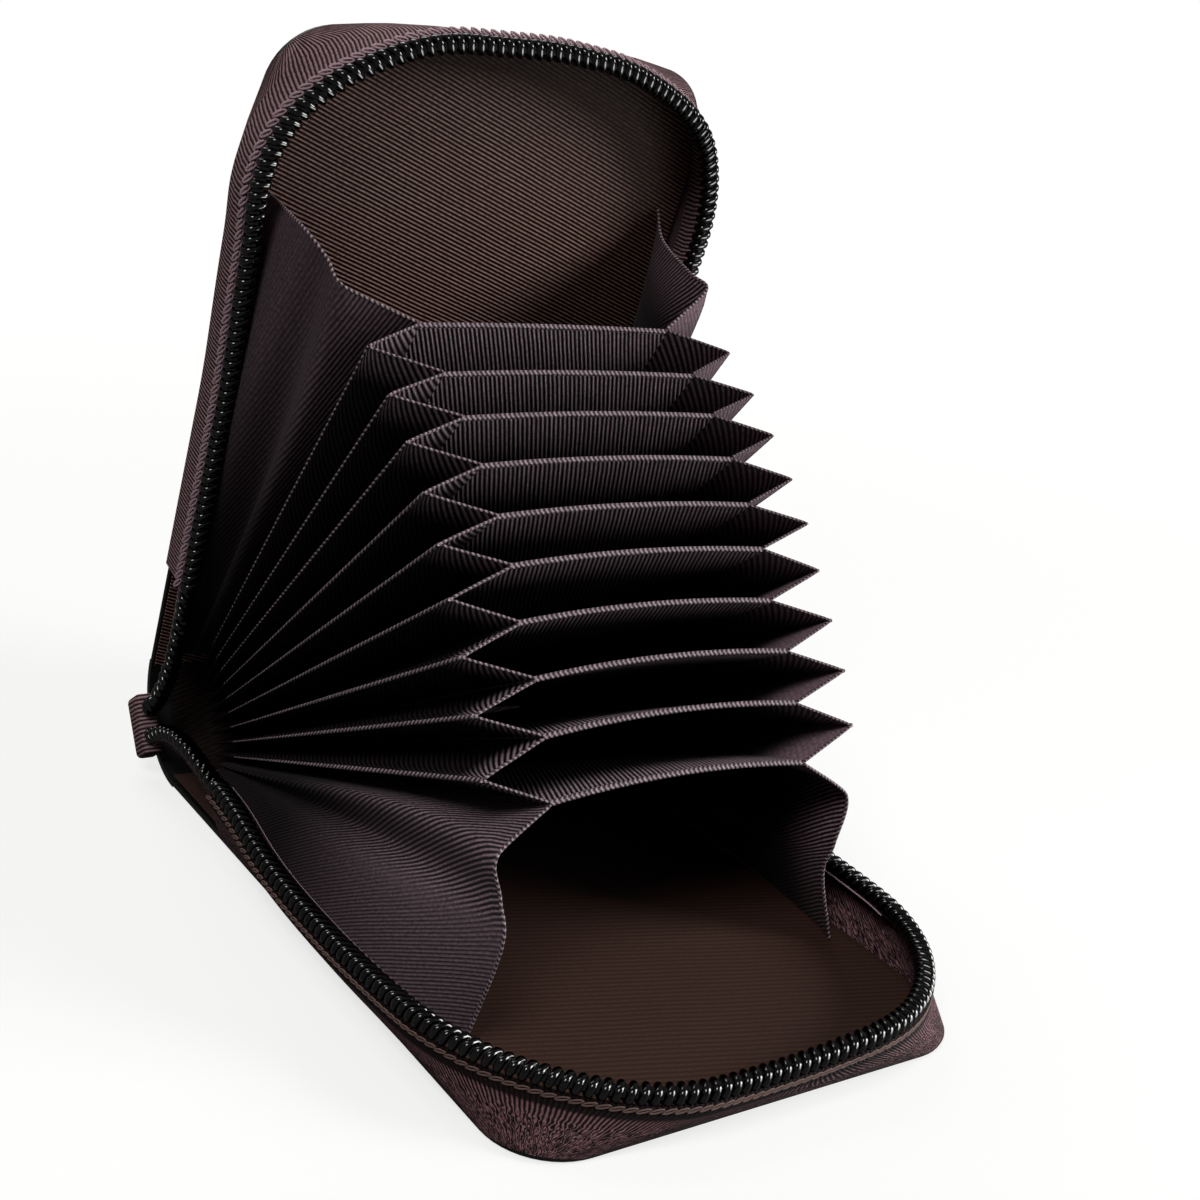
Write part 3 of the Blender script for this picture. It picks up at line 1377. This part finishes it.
@dataclass
class Spine:
    """The leather and the lining that join the covers, in strips that bend from body to body."""

    fan: Fan
    palette: Palette
    handle: float = 0.41
    gap: float = 0.05 * MM
    leather: float = 1.0 * MM
    leather_half: float = 37.5 * MM
    lining: float = 0.3 * MM
    lining_half: float = 34.0 * MM
    strip_cells: int = 6
    # Steps in the search along the curve, and a strip's least share of it
    fineness: int = 400
    least_share: float = 0.02

    def line(self, height: float) -> list[Vector]:
        """The bowed line behind the fan, from the lower cover to the upper one.

        Args:
            height: How far inside the covers' outer faces it runs.

        Returns:
            The curve's four points.
        """
        fan = self.fan
        low = fan.frame(0)
        high = fan.frame(fan.dividers + 1)
        start = low @ Vector((0.0, -fan.base_set - self.gap, height - fan.first_base))
        end = high @ Vector((0.0, -fan.base_set - self.gap, fan.first_base - height))
        reach = (end - start).length * self.handle
        return [start, start + low.to_3x3() @ BACKWARD * reach, end + high.to_3x3() @ BACKWARD * reach, end]

    def shares(self, line: Sequence[Vector]) -> list[float]:
        """Where the line crosses each body's plane behind its hinge.

        Args:
            line: The curve's four points.

        Returns:
            One share of the curve for each body of the chain, rising from 0 to 1.
        """
        fan = self.fan
        found = [0.0]
        for place in range(1, fan.dividers + 1):
            inverse = fan.frame(place).inverted()
            crossed = (k / self.fineness for k in range(self.fineness + 1) if k / self.fineness > found[-1])
            behind = (share for share in crossed
                      if (inverse @ cubic(line, share)).y < 0.0 < (inverse @ cubic(line, share)).z)
            found.append(next(behind, found[-1] + self.least_share))
        return found + [1.0]

    def build_layer(self, word: str, foot: float, thick: float, half: float, finish: Finish,
                    node: str) -> None:
        """One layer's strips.

        Args:
            word: The layer's word in the pieces' names.
            foot: Height of its outer face.
            thick: Thickness.
            half: Half its width along the spine.
            finish: Its finish.
            node: The CAD node that it stands for.
        """
        fan = self.fan
        line = self.line(foot + thick / 2)
        shares = self.shares(line)
        for place in range(fan.dividers + 1):
            first, last = shares[place], shares[place + 1]

            def shape(s: float, t: float, first: float = first, last: float = last) -> Vector:
                """A point of the strip."""
                point = cubic(line, first + (last - first) * t)
                return Vector(((2 * s - 1) * half, point.y, point.z))

            length = (cubic(line, last) - cubic(line, first)).length / MM
            strip = Bench.sheet(f"spine_{word}_{place + 1:02d}", 24, self.strip_cells, shape,
                                lambda s, t, n=length: (s * 2 * half / MM, t * n), thick, finish)
            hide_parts(node)
            fan.body(place)
            fan.body(place + 1)
            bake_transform(strip)

    def build(self) -> None:
        """Builds and dresses both layers."""
        self.build_layer("hide", 0.0, self.leather, self.leather_half, self.palette.leather, "spine_leather")
        self.build_layer("twill", self.fan.lining_top - self.lining, self.lining, self.lining_half,
                         self.palette.spine_twill, "spine_lining")


@dataclass
class ZipEnds:
    """The loose ends of the coils, bent to where they meet, with their tabs, slider and pull."""

    fan: Fan
    palette: Palette
    handle: float = 0.41
    coil_x: float = 39.6 * MM
    foot_x: float = 36.3 * MM
    tape_foot: float = 1.25 * MM
    coil_z: float = 8.75 * MM
    start: float = 20.0 * MM
    # How the coil leans out and rises where each end begins, and its slope there
    leans: dict[str, tuple[float, float, float]] = field(default_factory=lambda: {
        "lower_left": (-0.5 * MM, 0.95 * MM, 0.1), "lower_right": (0.0, 0.8 * MM, 0.0),
        "upper_left": (-2.0 * MM, 0.0, 0.0), "upper_right": (-0.9 * MM, 0.0, 0.0),
    })
    half_height: float = 11.0 * MM
    web: float = 2.4 * MM
    web_from: float = 0.36
    web_to: float = 0.78
    web_cloth: float = 4.0
    fineness: int = 40
    tape: float = 0.5 * MM
    left_front: float = -1.6 * MM
    right_front: float = 8.8 * MM
    tab_size: tuple[float, ...] = (3.3 * MM, 4.6 * MM, 10.0 * MM)
    tab_x: float = 39.6 * MM
    tab_y: float = -4.2 * MM
    tab_round: float = 0.9 * MM
    middle_place: int = 5

    def middle(self) -> Matrix:
        """The frame half way up the closed stack, where the zip's ends meet."""
        return self.fan.frame(self.middle_place) @ Matrix.Translation((0.0, 0.0, self.fan.pitch / 2))

    def lines(self, cover: Cover, side: Side) -> tuple[list[Vector], list[Vector]]:
        """The foot line of the tape and the middle line of the coil, from the cover to the middle.

        Args:
            cover: The cover that the end leaves.
            side: Its side.

        Returns:
            The two curves' points.
        """
        fan = self.fan
        flip = 1.0 if cover is Cover.LOWER else -1.0
        frame_a = fan.frame(cover.value)
        middle = self.middle()
        front = self.left_front if side is Side.LEFT else self.right_front
        lane = self.half_height - self.coil_z
        y = self.start - fan.base_set
        lean, rise, slope = self.leans[f"{cover.word}_{side.word}"]
        away = frame_a.to_3x3() @ Vector((0.0, -1.0, slope * flip)).normalized()
        heading = middle.to_3x3() @ BACKWARD
        result = []
        for start_x, start_z, end_z in ((self.foot_x, self.tape_foot, lane + self.web),
                                        (self.coil_x + lean, self.coil_z + rise, lane)):
            start = frame_a @ Vector((side.value * start_x, y, flip * (start_z - fan.first_base)))
            end = middle @ Vector((side.value * self.coil_x, front, -flip * end_z))
            reach = (end - start).length * self.handle
            result.append([start, start + away * reach, end - heading * reach, end])
        return result[0], result[1]

    def build_end(self, cover: Cover, side: Side) -> None:
        """One loose end, in strips that bend from body to body.

        Args:
            cover: The cover that the end leaves.
            side: Its side.
        """
        fan = self.fan
        foot, head = self.lines(cover, side)
        last = self.middle_place
        chain = list(range(last + 1)) if cover is Cover.LOWER else list(range(fan.dividers + 1, last - 1, -1))
        coil = Coil()
        length = runs_along([cubic(head, k / self.fineness) for k in range(self.fineness + 1)])[-1]
        strips = len(chain) - 1
        per = max(coil.turn_points, round(length / coil.pitch * coil.turn_points / strips))
        for n in range(strips):
            first, final = n / strips, (n + 1) / strips

            def shape(s: float, t: float, first: float = first, final: float = final) -> Vector:
                """A point of the tape web.

                Args:
                    s: Share along the strip.
                    t: Share of the way up to the coil.
                    first: The strip's start on the curves.
                    final: The strip's end on the curves.

                Returns:
                    The point in the row frame.
                """
                share = first + (final - first) * s
                low = cubic(foot, share)
                high = cubic(head, share)
                return low.lerp(high, self.web_from + (self.web_to - self.web_from) * t)

            name = f"{cover.word}_{side.word}_zip_end_{n + 1}"

            def flat(s: float, t: float, first: float = first, final: float = final) -> tuple[float, float]:
                """The same point on the flat tape."""
                return (first + (final - first) * s) * length / MM, t * self.web_cloth

            web = Bench.sheet(f"{name}_web", 8, 4, shape, flat, self.tape, self.palette.tape(cover))
            centres = []
            for k in range(per + 1):
                share = first + (final - first) * k / per
                up = (cubic(head, share) - cubic(foot, share)).normalized()
                centres.append((cubic(head, share), Vector((side.value, 0.0, 0.0)), up))
            wound = coil.build(f"{name}_coil", centres, self.palette)
            piece = Bench.join([wound, web], name)
            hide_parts(f"{cover.word}_{side.word}_zip_tail")
            a, b = chain[n], chain[n + 1]
            ends = (cubic(head, first), cubic(head, final))
            if a > b:
                a, b = b, a
                ends = ends[::-1]
            fan.body(a)
            fan.body(b)
            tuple(ends[0])
            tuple(ends[1])
            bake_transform(piece)

    def build_tab(self, side: Side) -> None:
        """The sewn tab that binds the tapes' ends.

        Args:
            side: Its side.
        """
        tab = Bench.block(f"{side.word}_zip_tab_sewn", (side.value * self.tab_x, self.tab_y, 0.0),
                          self.tab_size)
        Bench.bevel(tab, lambda a, b: True, self.tab_round, 4)
        Bench.set_weave(tab, np.array([(v.co.z / MM, v.co.y / MM) for v in tab.data.vertices]))
        tab.data.materials.append(self.palette.upper_tape.material())
        tab.data.transform(self.middle())
        Bench.tidy(tab)
        dress(tab, self.palette.upper_tape, self.fan.body(self.middle_place), f"{side.word}_zip_tab")

    def build(self) -> None:
        """Builds and dresses the ends and tabs, and plates the slider and its pull."""
        for side in Side:
            for cover in Cover:
                self.build_end(cover, side)
            self.build_tab(side)
        finishes = {"slider_body": self.palette.nickel, "pull_tab": self.palette.nickel,
                    "lower_board": self.palette.board, "upper_board": self.palette.board}
        for node, finish in finishes.items():
            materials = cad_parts[node].data.materials
            materials.clear()
            materials.append(finish.material())


@dataclass
class Studio:
    """Camera, pale floor and soft light."""

    place: tuple[float, ...] = (0.1431, 0.18666, 0.12907)
    angles: tuple[float, ...] = (71.039, -8.687, 145.295)
    lens: float = 52.784
    floor_size: float = 6.0
    target: tuple[float, ...] = (0.0, 0.0, 0.045)
    # Place, size and power of each soft lamp
    lamps: tuple[tuple[tuple[float, ...], float, float], ...] = (
        ((0.50, 0.35, 0.80), 0.40, 4.5),
        ((-0.70, 0.50, 0.45), 0.40, 7.0),
        ((0.05, -0.65, 0.75), 0.60, 3.0),
    )
    # A small card at the front right that only shows as a shine on the upper zip: place, aim, size, power
    card: tuple[tuple[float, ...], tuple[float, ...], float, float] = (
        (-0.105, 0.112, 0.030), (0.0, -0.035, 0.115), 0.15, 0.5)
    surround: float = 0.09
    mirrored: float = 0.06
    floor_near: float = 0.12
    floor_far: float = 0.42
    floor_glow: float = 0.72
    white: float = 1.03
    white_colour: str = "#fdfdfc"
    soft_white: str = "#f4f2f0"
    floor_pale: str = "#fdfdfd"
    floor_dark: str = "#3a3a3a"
    floor_drop: float = 0.2 * MM

    def build(self) -> None:
        """Sets the studio up."""
        scene = bpy.context.scene
        lens = bpy.data.cameras.new("camera")
        lens.lens = self.lens
        lens.sensor_width = 36.0
        lens.clip_start = 0.01
        lens.clip_end = 50.0
        camera = bpy.data.objects.new("camera", lens)
        camera.location = self.place
        camera.rotation_euler = [math.radians(a) for a in self.angles]
        scene.collection.objects.link(camera)
        scene.camera = camera
        for n, (place, size, power) in enumerate(self.lamps):
            self.add_lamp(f"softbox_{n + 1}", place, self.target, size, power)
        card = self.add_lamp("shine_card", *self.card)
        card.visible_camera = False
        card.visible_diffuse = False
        self.build_floor()
        self.build_world()
        scene.view_settings.view_transform = "Standard"

    @staticmethod
    def add_lamp(name: str, place: Sequence[float], aim: Sequence[float], size: float,
                 power: float) -> bpy.types.Object:
        """A round soft lamp.

        Args:
            name: Its name.
            place: Where it stands.
            aim: The point that it faces.
            size: Its width.
            power: Its power in watts.

        Returns:
            The lamp.
        """
        soft = bpy.data.lights.new(name, "AREA")
        soft.shape = "DISK"
        soft.size = size
        soft.energy = power
        lamp = bpy.data.objects.new(name, soft)
        lamp.location = place
        lamp.rotation_euler = (Vector(place) - Vector(aim)).to_track_quat("Z", "Y").to_euler()
        bpy.context.scene.collection.objects.link(lamp)
        return lamp

    def build_floor(self) -> None:
        """The pale floor."""
        bpy.ops.object.select_all(action="DESELECT")
        bpy.ops.mesh.primitive_plane_add(size=self.floor_size, location=(0.0, 0.0, -self.floor_drop))
        floor = bpy.context.active_object
        floor.name = "floor"
        bpy.ops.object.transform_apply(location=True, rotation=True, scale=True)
        floor.data.materials.append(self.paper())

    def seen_share(self, tree: bpy.types.NodeTree) -> bpy.types.Node:
        """How white the background is: all for the camera, and part of that in reflections.

        Args:
            tree: The floor's or the world's node tree.

        Returns:
            The node whose output is the share.
        """
        path = add_node(tree, "LightPath").outputs
        mirror = add_node(tree, "Math", {0: path["Is Glossy Ray"], 1: self.mirrored}, operation="MULTIPLY")
        through = add_node(tree, "Math", {0: mirror, 1: path["Is Transmission Ray"]}, operation="MAXIMUM")
        return add_node(tree, "Math", {0: path["Is Camera Ray"], 1: through}, operation="MAXIMUM")

    def paper(self) -> bpy.types.Material:
        """The floor's pale paper, which keeps the wallet's shadow and fades into the white surround.

        Returns:
            The material: white to the camera and in reflections, and dark to the light that it would throw
            back up into the pockets, because the photographed wallet has nothing white below it.
        """
        paper = bpy.data.materials.new("pale_paper")
        paper.use_nodes = True
        tree = paper.node_tree
        shader = tree.nodes["Principled BSDF"]
        shader.inputs["Roughness"].default_value = 0.9
        seen = self.seen_share(tree)
        tone = add_node(tree, "Mix", {"Factor": seen, 6: linear(self.floor_dark), 7: linear(self.floor_pale)},
                        data_type="RGBA")
        tree.links.new(tone.outputs[2], shader.inputs["Base Color"])
        place = add_node(tree, "TexCoord").outputs["Object"]
        reach = add_node(tree, "VectorMath", {0: place}, operation="LENGTH").outputs["Value"]
        fade = add_node(tree, "MapRange", {"Value": reach, "From Min": self.floor_near,
                                           "From Max": self.floor_far, "To Min": self.floor_glow},
                        interpolation_type="SMOOTHSTEP")
        glow = add_node(tree, "Math", {0: fade, 1: seen}, operation="MULTIPLY")
        white = add_node(tree, "Emission", {"Color": linear(self.white_colour), "Strength": self.white})
        mixed = add_node(tree, "MixShader", {0: glow, 1: shader, 2: white})
        out = next(node for node in tree.nodes if node.type == "OUTPUT_MATERIAL")
        tree.links.new(mixed.outputs[0], out.inputs["Surface"])
        return paper

    def build_world(self) -> None:
        """A soft, even surround that the camera sees as white."""
        world = bpy.data.worlds.new("studio")
        bpy.context.scene.world = world
        world.use_nodes = True
        tree = world.node_tree
        tree.nodes.clear()
        soft = add_node(tree, "Background", {"Color": linear(self.soft_white), "Strength": self.surround})
        white = add_node(tree, "Background", {"Color": linear(self.white_colour), "Strength": self.white})
        mixed = add_node(tree, "MixShader", {0: self.seen_share(tree), 1: soft, 2: white})
        add_node(tree, "OutputWorld", {"Surface": mixed})


def main() -> None:
    """Builds the wallet's sub-assemblies in order and reports each one."""
    logging.basicConfig(level=logging.INFO, format="%(name)s: %(message)s")
    fan = Fan()
    palette = Palette()
    Studio().build()
    LOG.info("studio ready")
    for cover in Cover:
        shell = CoverShell(fan, palette, cover)
        shell.build_shell()
        shell.build_zip()
        LOG.info("%s cover built", cover.word)
    for place in range(1, fan.dividers + 1):
        Divider(fan, palette, place).build()
        LOG.info("%s built", fan.body(place))
    for side in Side:
        for place in range(1, fan.dividers):
            Gusset(fan, palette, side, place).build()
            LOG.info("%s gusset on %s built", side.word, fan.body(place))
        for cover in Cover:
            EndGusset(fan, palette, side, cover).build()
            LOG.info("%s gusset at the %s cover built", side.word, cover.word)
    Spine(fan, palette).build()
    LOG.info("spine built")
    ZipEnds(fan, palette).build()
    LOG.info("zip ends, tabs and slider built")
    bpy.ops.object.select_all(action="DESELECT")


if __name__ == "__main__":
    main()
